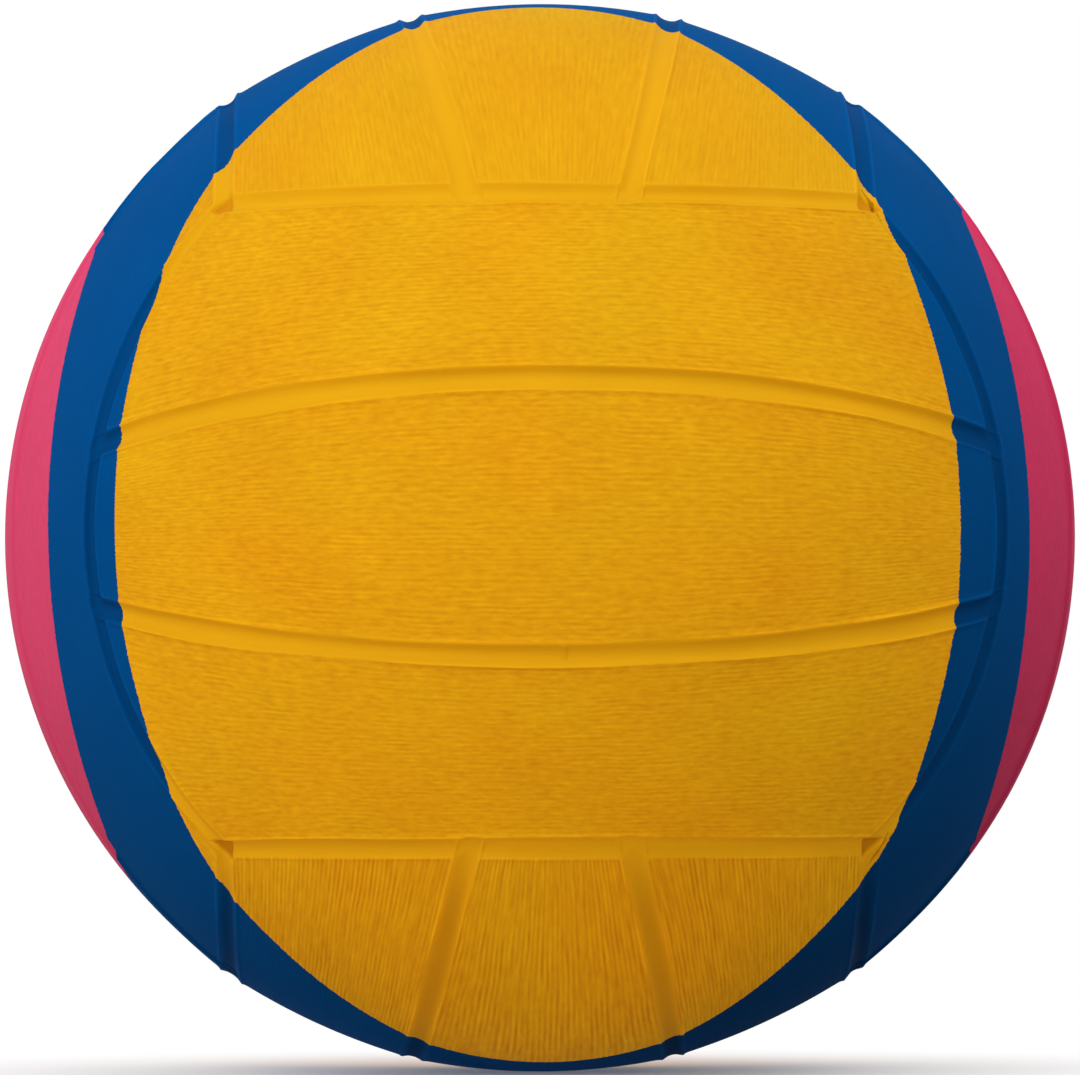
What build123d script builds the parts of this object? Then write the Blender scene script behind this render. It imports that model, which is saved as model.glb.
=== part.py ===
from build123d import *
import os
from math import acos, cos, degrees, pi, radians, sqrt, tan

# Water polo ball of junior size: a nylon-wound ball under a moulded rubber cover, with a needle valve.
# The origin is the ball's centre, +Z is up, +X is to the right and +Y points away from the viewer.
# The cover's eighteen panels are moulded relief. Its separate sheets are the six colour fields.

# Overall size
ball_girth = 590.0

# Moulded panels: the grooves are round-bottomed, and each face of three strips has two inner grooves
groove_width = 4.2
groove_depth = 1.1
inner_groove_rise = 0.1
groove_floor = 0.5
strip_half_angle = 14.0
corner_pit_spread = 1.2
corner_pit_drop = 0.2

# Colour fields: half angles of the ovals as seen from the ball's centre, in degrees
yellow_half_across = 49.0
yellow_half_up = 77.0
pink_half_along = 27.25
pink_half_up = 41.5

# The fields are laid up a little askew of the panel pattern, in degrees about Z and about Y
lay_turn = -1.5
lay_tilt = -1.0
butt_gap = 0.05

# Plies under the cover, from the outside in, each on its film of cement
bond_line = 0.1
carcass_thickness = 0.4
winding_thickness = 0.4
bladder_thickness = 0.5

# Valve on the +Y axis: a patch and a flanged seat inside the bladder, and a plug that pulls out
patch_radius = 17.0
patch_thickness = 0.8
flange_radius = 12.0
flange_thickness = 1.6
seat_wall = 1.2
seat_tail = 1.5
valve_recess = 0.4
plug_clearance = 0.05
core_head_radius = 3.4
core_head_thickness = 1.2
core_radius = 2.6
core_length = 15.0
core_nose_radius = 1.7
core_nose_length = 3.0
needle_hole_radius = 1.05
needle_hole_depth = 10.0
needle_funnel = 0.5
slit_width = 0.2
slit_breadth = 2.0

# Radii of the plies
ball_radius = ball_girth / (2 * pi)
cover_inner_radius = ball_radius - groove_depth - groove_floor
carcass_outer_radius = cover_inner_radius - bond_line
carcass_inner_radius = carcass_outer_radius - carcass_thickness
winding_outer_radius = carcass_inner_radius - bond_line
winding_inner_radius = winding_outer_radius - winding_thickness
bladder_outer_radius = winding_inner_radius - bond_line
bladder_inner_radius = bladder_outer_radius - bladder_thickness
patch_outer_radius = bladder_inner_radius - bond_line
patch_inner_radius = patch_outer_radius - patch_thickness
flange_outer_radius = patch_inner_radius - bond_line
flange_inner_radius = flange_outer_radius - flange_thickness

# Valve places along +Y, and the radii that its pieces share
valve_face = ball_radius - valve_recess
core_shoulder = valve_face - core_head_thickness
core_tip = valve_face - core_length
seat_bottom = core_tip - seat_tail
seat_bore_radius = core_radius + plug_clearance
seat_counterbore_radius = core_head_radius + plug_clearance
seat_counterbore_floor = core_shoulder - plug_clearance
stem_radius = seat_counterbore_radius + seat_wall
valve_hole_radius = stem_radius + bond_line
needle_hole_bottom = valve_face - needle_hole_depth
valve_plane = Plane(origin=(0, 0, 0), x_dir=(1, 0, 0), z_dir=(0, 1, 0))

# The panel pattern is a cube's six faces drawn on the ball, so its corners lie along the cube's diagonals
corner_height = ball_radius / sqrt(3)
edge_half_arc = 45.0
inner_half_arc = degrees(acos(corner_height / ball_radius / cos(radians(strip_half_angle))))
inner_groove_depth = groove_depth - inner_groove_rise
corner_pit_depth = groove_depth + corner_pit_drop
corner_pit_width = groove_width + corner_pit_spread
diagonal_axis = Axis((0, 0, 0), (1, 1, 1))

# The fields' own axes, turned and tilted against the panels
lay_up = Plane.XY.rotated((0, lay_tilt, lay_turn))
butt_angle = degrees(butt_gap / ball_radius)

# The cones that cut the fields run from inside the bladder to outside the cover
cone_near = 0.1 * ball_radius
cone_far = 1.1 * ball_radius


def round_of(width, depth):
    """Radius of the arc that is width across and depth deep."""
    return ((width / 2) ** 2 + depth**2) / (2 * depth)


def groove_tool(height, half_arc, depth):
    """Round cutter along the circle that the level z = height draws on the ball, centred on -Y."""
    cutter_radius = round_of(groove_width, depth)
    reach = (ball_radius + cutter_radius - depth) / ball_radius
    ring_radius = sqrt(ball_radius**2 - height**2)
    start_plane = Plane.XZ.rotated((0, 0, -90 - half_arc))
    with BuildPart() as tool:
        with BuildSketch(start_plane):
            with Locations((ring_radius * reach, height * reach)):
                Circle(cutter_radius)
        revolve(axis=Axis.Z, revolution_arc=2 * half_arc)
    return tool.part


def face_grooves():
    """Cutters of the front face: its two long edges and its two inner grooves, all along X."""
    edges = [groove_tool(side * corner_height, edge_half_arc, groove_depth) for side in (1, -1)]
    inner = groove_tool(0, inner_half_arc, inner_groove_depth)
    return edges + [inner.rotate(Axis.X, side * strip_half_angle) for side in (1, -1)]


def all_grooves():
    """The front face's cutters, carried to the rear and to the other two pairs of faces."""
    tools = []
    for cutter in face_grooves():
        for half_turn in (0, 180):
            pair = cutter.rotate(Axis.Z, half_turn)
            tools += [pair.rotate(diagonal_axis, third) for third in (0, 120, 240)]
    return tools


def corner_pits():
    """Round pits where three grooves meet, at the eight corners of the panel pattern."""
    pit_radius = round_of(corner_pit_width, corner_pit_depth)
    reach = (ball_radius + pit_radius - corner_pit_depth) / sqrt(3)
    with BuildPart() as pits:
        for x in (-1, 1):
            for y in (-1, 1):
                with Locations((x * reach, y * reach, -reach), (x * reach, y * reach, reach)):
                    Sphere(pit_radius)
    return pits.solids()


def field_cone(outward, half_across, half_up):
    """Elliptical cone from the ball's centre along outward, with its long axis upright."""
    across = lay_up.z_dir.cross(outward)
    with BuildPart() as cone:
        for distance in (cone_near, cone_far):
            with BuildSketch(Plane(origin=outward * distance, x_dir=across, z_dir=outward)):
                Ellipse(distance * tan(radians(half_across)), distance * tan(radians(half_up)))
        loft(ruled=True)
    return cone.part


def ply(outer, inner):
    """Spherical ply with the valve's hole on +Y."""
    with BuildPart() as shell:
        Sphere(outer, rotation=(0, 90, 0))
        Sphere(inner, rotation=(0, 90, 0), mode=Mode.SUBTRACT)
        with BuildSketch(valve_plane):
            Circle(valve_hole_radius)
        extrude(amount=2 * outer, mode=Mode.SUBTRACT)
    return shell


def cap_section(outer, inner, near, far):
    """Half section of a spherical cap ring on the XY plane, for turning about Y."""
    corners = [(x, sqrt(r**2 - x**2)) for r, x in ((outer, near), (outer, far), (inner, far), (inner, near))]
    with BuildSketch() as section:
        with BuildLine():
            RadiusArc(corners[0], corners[1], outer)
            Line(corners[1], corners[2])
            RadiusArc(corners[2], corners[3], -inner)
            Line(corners[3], corners[0])
        make_face()
    return section.sketch


# Cover blank: the grooved shell that the six colour fields are cut from
with BuildPart() as cover_blank:
    add(ply(ball_radius, cover_inner_radius).part)
    add(all_grooves(), mode=Mode.SUBTRACT)
    add(corner_pits(), mode=Mode.SUBTRACT)

# Yellow fields, front and rear
with BuildPart() as cover_front_yellow:
    add(cover_blank.part)
    add(field_cone(-lay_up.y_dir, yellow_half_across, yellow_half_up), mode=Mode.INTERSECT)

with BuildPart() as cover_rear_yellow:
    add(cover_blank.part)
    add(field_cone(lay_up.y_dir, yellow_half_across, yellow_half_up), mode=Mode.INTERSECT)

# Pink fields, left and right
with BuildPart() as cover_left_pink:
    add(cover_blank.part)
    add(field_cone(-lay_up.x_dir, pink_half_along, pink_half_up), mode=Mode.INTERSECT)

with BuildPart() as cover_right_pink:
    add(cover_blank.part)
    add(field_cone(lay_up.x_dir, pink_half_along, pink_half_up), mode=Mode.INTERSECT)

# Blue fields: what the four ovals leave, parted over the top and the bottom
with BuildPart() as blue_web:
    add(cover_blank.part)
    for outward in (-lay_up.y_dir, lay_up.y_dir):
        wide_yellow = field_cone(outward, yellow_half_across + butt_angle, yellow_half_up + butt_angle)
        add(wide_yellow, mode=Mode.SUBTRACT)
    for outward in (-lay_up.x_dir, lay_up.x_dir):
        wide_pink = field_cone(outward, pink_half_along + butt_angle, pink_half_up + butt_angle)
        add(wide_pink, mode=Mode.SUBTRACT)

parting_plane = Plane(origin=(0, 0, 0), x_dir=lay_up.y_dir, z_dir=lay_up.x_dir)

with BuildPart() as cover_left_blue:
    add(blue_web.part)
    split(bisect_by=parting_plane.offset(-butt_gap / 2), keep=Keep.BOTTOM)

with BuildPart() as cover_right_blue:
    add(blue_web.part)
    split(bisect_by=parting_plane.offset(butt_gap / 2), keep=Keep.TOP)

# Plies under the cover
carcass = ply(carcass_outer_radius, carcass_inner_radius)
winding = ply(winding_outer_radius, winding_inner_radius)
bladder = ply(bladder_outer_radius, bladder_inner_radius)

# Valve patch: the ring that stiffens the bladder round the valve
with BuildPart() as valve_patch:
    add(cap_section(patch_outer_radius, patch_inner_radius, valve_hole_radius, patch_radius))
    revolve(axis=Axis.Y)

# Valve seat: a tube from the ball's face inwards, with a flange under the patch
with BuildPart() as valve_seat:
    with BuildSketch():
        add(cap_section(flange_outer_radius, flange_inner_radius, seat_bore_radius, flange_radius))
        with BuildLine():
            Polyline(
                (seat_bore_radius, seat_bottom),
                (stem_radius, seat_bottom),
                (stem_radius, valve_face),
                (seat_counterbore_radius, valve_face),
                (seat_counterbore_radius, seat_counterbore_floor),
                (seat_bore_radius, seat_counterbore_floor),
                close=True,
            )
        make_face()
    revolve(axis=Axis.Y)

# Valve core: a headed plug with a blind needle hole and the slit that seals itself
with BuildPart() as valve_core:
    with BuildSketch():
        with BuildLine():
            Polyline(
                (0, core_tip),
                (core_nose_radius, core_tip),
                (core_radius, core_tip + core_nose_length),
                (core_radius, core_shoulder),
                (core_head_radius, core_shoulder),
                (core_head_radius, valve_face),
                (needle_hole_radius + needle_funnel, valve_face),
                (needle_hole_radius, valve_face - needle_funnel),
                (needle_hole_radius, needle_hole_bottom),
                (0, needle_hole_bottom),
                close=True,
            )
        make_face()
    revolve(axis=Axis.Y)
    with BuildSketch(valve_plane.offset(core_tip)):
        Rectangle(slit_breadth, slit_width)
    extrude(amount=needle_hole_bottom - core_tip, mode=Mode.SUBTRACT)

pieces = {
    "cover_front_yellow": cover_front_yellow,
    "cover_rear_yellow": cover_rear_yellow,
    "cover_left_pink": cover_left_pink,
    "cover_right_pink": cover_right_pink,
    "cover_left_blue": cover_left_blue,
    "cover_right_blue": cover_right_blue,
    "carcass": carcass,
    "winding": winding,
    "bladder": bladder,
    "valve_patch": valve_patch,
    "valve_seat": valve_seat,
    "valve_core": valve_core,
}

os.makedirs("parts", exist_ok=True)
for node, piece in pieces.items():
    piece.part.label = node
    export_step(piece.part, f"parts/{node}.step")
    print(node, len(piece.solids()), "solid,", round(piece.part.volume, 1), "mm3")

# Checks: the fields fill the cover, and the plies have the volume of their shells
sheets = [pieces[node] for node in pieces if node.startswith("cover_")]
print("cover sheets fill", round(sum(sheet.part.volume for sheet in sheets) / cover_blank.part.volume, 5))
for node, outer, inner in (
    ("carcass", carcass_outer_radius, carcass_inner_radius),
    ("winding", winding_outer_radius, winding_inner_radius),
    ("bladder", bladder_outer_radius, bladder_inner_radius),
):
    whole_shell = 4 / 3 * pi * (outer**3 - inner**3)
    print(node, "share of a whole shell", round(pieces[node].part.volume / whole_shell, 5))
print("ball radius", round(ball_radius, 3), "valve face at y", round(valve_face, 3))
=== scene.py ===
import bpy
import numpy as np
from mathutils import Matrix, Vector


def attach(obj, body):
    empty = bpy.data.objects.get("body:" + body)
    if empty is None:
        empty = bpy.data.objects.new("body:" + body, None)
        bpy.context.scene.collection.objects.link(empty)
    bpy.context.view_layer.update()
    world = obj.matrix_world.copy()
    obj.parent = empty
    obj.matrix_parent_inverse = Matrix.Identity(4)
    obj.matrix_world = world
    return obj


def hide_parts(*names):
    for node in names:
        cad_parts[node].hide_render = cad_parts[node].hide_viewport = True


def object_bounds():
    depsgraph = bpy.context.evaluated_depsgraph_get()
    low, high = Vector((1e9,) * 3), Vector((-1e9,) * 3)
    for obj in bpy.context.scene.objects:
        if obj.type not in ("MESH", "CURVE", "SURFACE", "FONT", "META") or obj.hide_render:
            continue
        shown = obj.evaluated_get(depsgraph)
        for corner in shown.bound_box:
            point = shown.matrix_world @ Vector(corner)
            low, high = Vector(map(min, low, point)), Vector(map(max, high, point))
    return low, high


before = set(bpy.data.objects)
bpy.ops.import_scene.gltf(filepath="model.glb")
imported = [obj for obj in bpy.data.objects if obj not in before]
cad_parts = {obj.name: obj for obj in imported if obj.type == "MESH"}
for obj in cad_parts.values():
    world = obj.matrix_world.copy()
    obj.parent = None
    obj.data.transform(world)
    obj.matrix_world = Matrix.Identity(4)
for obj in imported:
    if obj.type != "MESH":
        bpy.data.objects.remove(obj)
cad_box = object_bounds()

# Sizes of the ball in millimetres, with angles in radians and shares as plain numbers
MM = 0.001
BALL_RADIUS = (cad_box[1].x - cad_box[0].x) / 2 / MM
COVER_THICKNESS = 1.6
STRIP_HALF_ANGLE = np.radians(14.0)
GROOVE_HALF_WIDTH = 2.1
GROOVE_DEPTH = 0.62
GROOVE_LIP_ROUNDING = 0.08
LOW_GROOVE_LOSS = 0.42
LOW_GROOVE_BAND = (0.1, 0.6)
GROOVE_CROSSING_REACH = 0.2
CROSSING_RIDGE_HEIGHT = 0.22
CROSSING_RIDGE_WIDTH = 0.27
GROOVE_END_FADE = 0.35
GROOVE_END_REACH = 10.0
LIP_HEIGHT = 0.4
LIP_FALL = 0.3
LIP_INSIDE = 1.0
PANEL_CORNER_ROUNDING = 0.8
CORNER_PIT_RADIUS = 1.45
CORNER_PIT_DEPTH = 0.8
CORNER_PIT_POWER = 6
VENT_TICK_PLACE = 1.9
VENT_TICK_HALF_WIDTH = 0.9
VENT_TICK_HEIGHT = 0.16
EDGE_LIFT = 0.34
PANEL_SAG = 0.02
PANEL_END_EASE = 9.0
POLE_FLATTENING = 0.2
UNEVEN_HEIGHT = 0.07
UNEVEN_GROOVE = 0.16
UNEVEN_GROOVE_BAND = (0.2, 1.5)
LIP_EVEN_SHARE = 0.9
LIP_UNEVEN_SHARE = 0.35

# Gentle wander over the ball: the seed of each draw, and how far its waves turn over a radius
GROOVE_WANDER = (5, 14.0)
LIP_WANDER = (7, 30.0)
HEIGHT_WANDER = (11, 9.0)
WANDER_WAVES = 24
WANDER_PEAK = 1.5

# Colour fields: half angles of the elliptical cones, and how the sheets were turned when they were laid
YELLOW_HALF_ACROSS = np.radians(49.0)
YELLOW_HALF_UP = np.radians(77.3)
PINK_HALF_ALONG = np.radians(27.05)
PINK_HALF_UP = np.radians(40.0)
LAY_TURN = np.radians(-1.5)
LAY_TILT = np.radians(-1.0)
GROOVE_DRAW = -0.15
CORNER_STRETCH = 1.3
CORNER_STRETCH_REACH = 16.0
FIELD_REACH = 20
COLOUR_FIELDS = (
    ("front_yellow", (0, -1, 0), YELLOW_HALF_ACROSS, YELLOW_HALF_UP),
    ("rear_yellow", (0, 1, 0), YELLOW_HALF_ACROSS, YELLOW_HALF_UP),
    ("left_pink", (-1, 0, 0), PINK_HALF_ALONG, PINK_HALF_UP),
    ("right_pink", (1, 0, 0), PINK_HALF_ALONG, PINK_HALF_UP),
)

# Valve, at the middle of the rear face
VALVE_HOLE_RADIUS = 4.75
VALVE_PAD_RADIUS = 9.0
VALVE_PAD_HEIGHT = 0.25
VALVE_PAD_EASE = 1.2
VALVE_LIP_ROUNDING = 0.6
VALVE_PATCH_RADIUS = 12.0
VALVE_PATCH_RINGS = 22
VALVE_RING_POWER = 0.6
VALVE_RIM_SLACK = 0.5

# Steps of the surface grid in millimetres, and the fineness of its sums
LIP_STEP = 0.16
FLOOR_STEP = 0.36
COARSE_STEP = 1.6
LIP_BAND = (1.45, 2.9)
COARSE_START = 6.5
FLOOR_EASE = 0.4
STATION_SAMPLES = 4001
ROW_HALVINGS = 24
WELDS_PER_RADIUS = 1e6
TINY = 1e-9

# Face corners lie at this cosine, and face edges on rings of this radius, on a ball of radius 1
CORNER = 1 / np.sqrt(3)
EDGE_RING = np.sqrt(2 / 3)

# Along an end edge, from its middle: where the inner grooves meet it, and where it ends
TEE_ANGLE = np.arcsin(CORNER * np.tan(STRIP_HALF_ANGLE) / EDGE_RING)
QUARTER = np.pi / 4

# Along and across axes of the six faces, where each face's stretch of grain starts and how far it is
# drawn out, the spacing of its ribs in millimetres in the middle panel and in the outer ones, and the
# strength of its flecks and of its ribs
FACES = {
    "front": ((1, 0, 0), (0, 0, 1), 0, 1.0, (0.88, 0.79), 0.5, 0.3),
    "rear": ((1, 0, 0), (0, 0, -1), 310, 1.0, (0.88, 0.79), 0.5, 0.3),
    "top": ((0, 1, 0), (-1, 0, 0), 620, 1.8, (1.2, 0.75), 0.3, 0.2),
    "bottom": ((0, 1, 0), (1, 0, 0), 930, 1.8, (1.1, 0.66), 0.4, 0.8),
    "right": ((0, 0, 1), (0, -1, 0), 1240, 1.0, (0.9, 0.8), 0.5, 0.3),
    "left": ((0, 0, 1), (0, 1, 0), 1550, 1.0, (0.9, 0.8), 0.5, 0.3),
}


def unit(vectors):
    """Vectors scaled to length 1."""
    return vectors / np.linalg.norm(vectors, axis=-1, keepdims=True)


def ease(value, start, stop):
    """A smooth step from 0 at start to 1 at stop."""
    share = np.clip((value - start) / (stop - start), 0, 1)
    return share * share * (3 - 2 * share)


def soft_min(first, second, width):
    """The lesser of two distances, rounded off where they differ by less than width."""
    overlap = np.maximum(width - np.abs(first - second), 0) / width
    return np.minimum(first, second) - overlap * overlap * width / 4


def unevenness(directions, seed, reach):
    """A gentle wander between about -1 and 1: the mean of sine waves in seeded directions over the ball."""
    draw = np.random.default_rng(seed)
    travel = draw.normal(size=(3, WANDER_WAVES)) * reach / np.sqrt(3)
    start = draw.uniform(0, 2 * np.pi, WANDER_WAVES)
    return np.sin(directions @ travel + start).sum(1) / np.sqrt(WANDER_WAVES / 2) / WANDER_PEAK


def stations(length):
    """Distances along one panel's side, closest together at the lips of the grooves at its ends."""
    place = np.linspace(0, length, STATION_SAMPLES)
    nearest = np.minimum(place, length - place)
    inner, outer = LIP_BAND
    step = FLOOR_STEP + (LIP_STEP - FLOOR_STEP) * ease(nearest, inner - FLOOR_EASE, inner)
    step = step + (COARSE_STEP - LIP_STEP) * ease(nearest, outer, COARSE_START)
    density = 1 / step
    count = np.concatenate([[0], np.cumsum((density[1:] + density[:-1]) / 2 * np.diff(place))])
    return np.interp(np.linspace(0, count[-1], int(round(count[-1])) + 1), count, place)


def edge_angles():
    """Angles from -45 to 45 degrees of the points along a face's edge, panel by panel."""
    ring = EDGE_RING * BALL_RADIUS
    middle = stations(2 * TEE_ANGLE * ring) / ring - TEE_ANGLE
    outer = stations((QUARTER - TEE_ANGLE) * ring) / ring + TEE_ANGLE
    return np.concatenate([-outer[::-1], middle[1:-1], outer])


def row_circle(row):
    """Lean of the plane that holds a row's circle, and the plane's distance from the ball's centre."""
    fan = np.arctan2(EDGE_RING * np.sin(row), CORNER)
    left = (QUARTER - np.abs(row)) / (QUARTER - TEE_ANGLE)
    lean = np.where(np.abs(row) <= TEE_ANGLE, fan, np.sign(row) * STRIP_HALF_ANGLE * left)
    return lean, EDGE_RING * np.sin(row) * np.cos(lean) - CORNER * np.sin(lean)


def grain_lines(local, spacing):
    """How many ribs lie between the face's middle and each point, where ribs follow the rows' circles.

    The row is found by halving: a point lies beyond a row's plane or short of it. The ribs are counted
    where the row crosses the middle of the face, at the spacings of the middle panel and the outer ones.
    """
    low, high = np.zeros(len(local)), np.full(len(local), QUARTER)
    across, outward = np.abs(local[:, 1]), local[:, 2]
    for _ in range(ROW_HALVINGS):
        row = (low + high) / 2
        lean, shift = row_circle(row)
        beyond = across * np.cos(lean) - outward * np.sin(lean) > shift
        low, high = np.where(beyond, row, low), np.where(beyond, high, row)
    lean, shift = row_circle((low + high) / 2)
    crossing = lean + np.arcsin(shift)
    middle = np.minimum(crossing, STRIP_HALF_ANGLE)
    count = middle / spacing[0] + (crossing - middle) / spacing[1]
    return np.sign(local[:, 1]) * BALL_RADIUS * count


def face_grid():
    """Directions over one face as (along, across, outward), row by row.

    Each row is a circle through the two end edges. In the middle panel the circles' planes pass through
    the ball's centre, and over an outer panel they lean until the last one holds the long edge.
    """
    angles = edge_angles()
    row = angles[:, None]
    share = angles[None, :] / QUARTER
    lean, shift = row_circle(row)
    ring = np.sqrt(1 - shift * shift)
    turn = share * np.arcsin(np.clip(EDGE_RING * np.cos(row) / ring, -1, 1))
    along = ring * np.sin(turn)
    across = shift * np.cos(lean) + ring * np.cos(turn) * np.sin(lean)
    outward = ring * np.cos(turn) * np.cos(lean) - shift * np.sin(lean)
    points = np.stack([along, across, outward], -1).reshape(-1, 3)
    index = np.arange(len(points)).reshape(len(angles), len(angles))
    a, b, c, d = index[:-1, :-1], index[:-1, 1:], index[1:, 1:], index[1:, :-1]
    triangles = np.stack([a, b, c, a, c, d], -1).reshape(-1, 3)
    return unit(points), triangles


def face_axes(face):
    """Rows that take a direction in the face's own axes to the ball's axes."""
    along, across = np.array(FACES[face][0], float), np.array(FACES[face][1], float)
    return np.stack([along, across, np.cross(along, across)])


LAY_UP = np.array(
    Matrix.Rotation(LAY_TURN, 3, "Z") @ Matrix.Rotation(LAY_TILT, 3, "Y")
)


def groove_distance(local):
    """Distances in millimetres to the nearest groove line and to each kind of groove line.

    The nearest is rounded off where grooves meet.
    An inner groove of the next face runs on over the long edge, up to the edge groove's far lip.
    """
    along, across, outward = np.abs(local[:, 0]), np.abs(local[:, 1]), local[:, 2]
    to_long = BALL_RADIUS * (np.arcsin(CORNER) - np.arcsin(across))
    to_end = BALL_RADIUS * (np.arcsin(outward) - np.arcsin(CORNER))
    tip = across * np.cos(STRIP_HALF_ANGLE) - outward * np.sin(STRIP_HALF_ANGLE)
    to_inner = BALL_RADIUS * np.abs(np.arcsin(tip))
    beside = along * np.cos(STRIP_HALF_ANGLE) - across * np.sin(STRIP_HALF_ANGLE)
    to_next = BALL_RADIUS * np.abs(np.arcsin(beside))
    to_edge = soft_min(to_long, to_end, PANEL_CORNER_ROUNDING)
    to_crossing = np.hypot(to_next, np.maximum(to_long - GROOVE_CROSSING_REACH, 0))
    nearest = soft_min(to_edge, np.minimum(to_inner, to_crossing), PANEL_CORNER_ROUNDING)
    return {
        "nearest": np.maximum(nearest, 0),
        "edge": np.maximum(to_edge, 0),
        "long": np.maximum(to_long, 0),
        "end": np.maximum(to_end, 0),
        "inner": to_inner,
        "lane": np.minimum(to_inner, to_next),
        "tip": tip,
    }


def groove_profile(distance):
    """Depth of a groove at a distance from its line: a parabolic trough whose lip is rounded off."""
    trough = GROOVE_DEPTH * (1 - (distance / GROOVE_HALF_WIDTH) ** 2)
    return (trough + np.sqrt(trough**2 + GROOVE_LIP_ROUNDING**2)) / 2


def lip_profile(distance):
    """Height of the raised lip at a distance from the groove's line, steepest on the panel's side."""
    outside = np.maximum(distance - GROOVE_HALF_WIDTH, 0)
    inside = np.maximum(GROOVE_HALF_WIDTH - distance, 0)
    return LIP_HEIGHT * np.exp(-outside / LIP_FALL - (inside / LIP_INSIDE) ** 2)


def valve_distance(directions):
    """Distance in millimetres over the ball from the valve's axis, which is +Y."""
    return BALL_RADIUS * np.arctan2(np.hypot(directions[:, 0], directions[:, 2]), directions[:, 1])


def corner_distance(directions):
    """Distance in millimetres over the ball from the nearest corner where three faces meet."""
    corner = unit(np.where(directions < 0, -1.0, 1.0))
    return BALL_RADIUS * np.arccos(np.clip((directions * corner).sum(1), -1, 1))


def corner_reach(directions):
    """Reach in millimetres of a three-sided cone about the nearest corner.

    It is how far the lowest of the three coordinates falls short of the corner's.
    """
    return BALL_RADIUS * np.sqrt(1.5) * (CORNER - np.abs(directions).min(1))


def relief(local, directions):
    """Height of the cover over the ball, shares of a groove and of a corner's pit, and the relief.

    Heights are in millimetres. A share runs from 0 on the panels to 1 on the floor. The relief is the
    height of grooves and lips alone. Panels sag a little between their raised edges. Grooves are troughs
    with raised lips, which get shallower on the underside and towards the corners where three faces meet.
    A three-sided pit marks each such corner. A low pad with a rounded lip stands round the valve.
    """
    to = groove_distance(local)
    wander = unevenness(directions, *GROOVE_WANDER)
    settled = ease(to["nearest"], *UNEVEN_GROOVE_BAND)
    uneven = np.maximum(to["nearest"] + UNEVEN_GROOVE * wander * settled, 0)
    to_corner = corner_distance(directions)
    fade = 1 - GROOVE_END_FADE * np.exp(-((to_corner / GROOVE_END_REACH) ** 2))
    fade = fade * (1 - LOW_GROOVE_LOSS * ease(-directions[:, 2], *LOW_GROOVE_BAND))
    depth = groove_profile(uneven) * fade
    lip_share = LIP_EVEN_SHARE + LIP_UNEVEN_SHARE * unevenness(directions, *LIP_WANDER)
    bead = lip_profile(uneven) * fade * lip_share
    across_edge = np.clip(groove_profile(to["edge"]) / GROOVE_DEPTH, 0, 1)
    lane_lip = (to["lane"] - GROOVE_HALF_WIDTH) / CROSSING_RIDGE_WIDTH
    bead = bead + CROSSING_RIDGE_HEIGHT * np.exp(-(lane_lip**2)) * across_edge
    sine, cosine = np.sin(STRIP_HALF_ANGLE), np.cos(STRIP_HALF_ANGLE)
    far = BALL_RADIUS * np.arcsin(np.abs(local[:, 1]) * cosine + local[:, 2] * sine)
    other = np.where(to["tip"] < 0, far, to["long"])
    balance = (to["inner"] - other) / (to["inner"] + other + TINY)
    middle = (1 - balance**2) * (1 - np.exp(-((to["end"] / PANEL_END_EASE) ** 2)))
    crown = EDGE_LIFT - (EDGE_LIFT + PANEL_SAG) * middle
    from_pit = corner_reach(directions) / CORNER_PIT_RADIUS
    pit = CORNER_PIT_DEPTH * np.exp(-(from_pit**CORNER_PIT_POWER))
    flattening = POLE_FLATTENING * directions[:, 2] ** 2
    wobble = UNEVEN_HEIGHT * unevenness(directions, *HEIGHT_WANDER)
    from_valve = valve_distance(directions)
    pad = VALVE_PAD_HEIGHT * (1 - ease(from_valve, VALVE_PAD_RADIUS - VALVE_PAD_EASE, VALVE_PAD_RADIUS))
    inside_lip = np.clip(VALVE_HOLE_RADIUS + VALVE_LIP_ROUNDING - from_valve, 0, VALVE_LIP_ROUNDING)
    lip = VALVE_LIP_ROUNDING - np.sqrt(VALVE_LIP_ROUNDING**2 - inside_lip**2)
    height = crown + bead - depth - pit - flattening + wobble + pad - lip
    return height, np.clip(depth / GROOVE_DEPTH, 0, 1), pit / CORNER_PIT_DEPTH, bead - depth


def field_distance(directions, axis, half_sideways, half_up):
    """Distance in millimetres inside an elliptical cone about an axis of the lay-up, and the way it grows.

    The cone is the quadratic form sideways**2 / tan**2 + up**2 / tan**2 - out**2. Its value over its slope
    on the ball is the distance near the edge, negative outside.
    """
    laid = directions @ LAY_UP
    out = laid @ axis
    weights = np.full(3, 1 / np.tan(half_sideways) ** 2)
    weights[2] = 1 / np.tan(half_up) ** 2
    weights[np.abs(axis) > 0.5] = -1
    form = laid**2 @ weights
    slope = laid * (weights - form[:, None])
    steepness = np.linalg.norm(slope, axis=1) + TINY
    distance = -BALL_RADIUS * form / (2 * steepness)
    growth = -(slope / steepness[:, None]) @ LAY_UP.T
    return np.where(out > 0, distance, -np.abs(distance) - 1), growth


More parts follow.
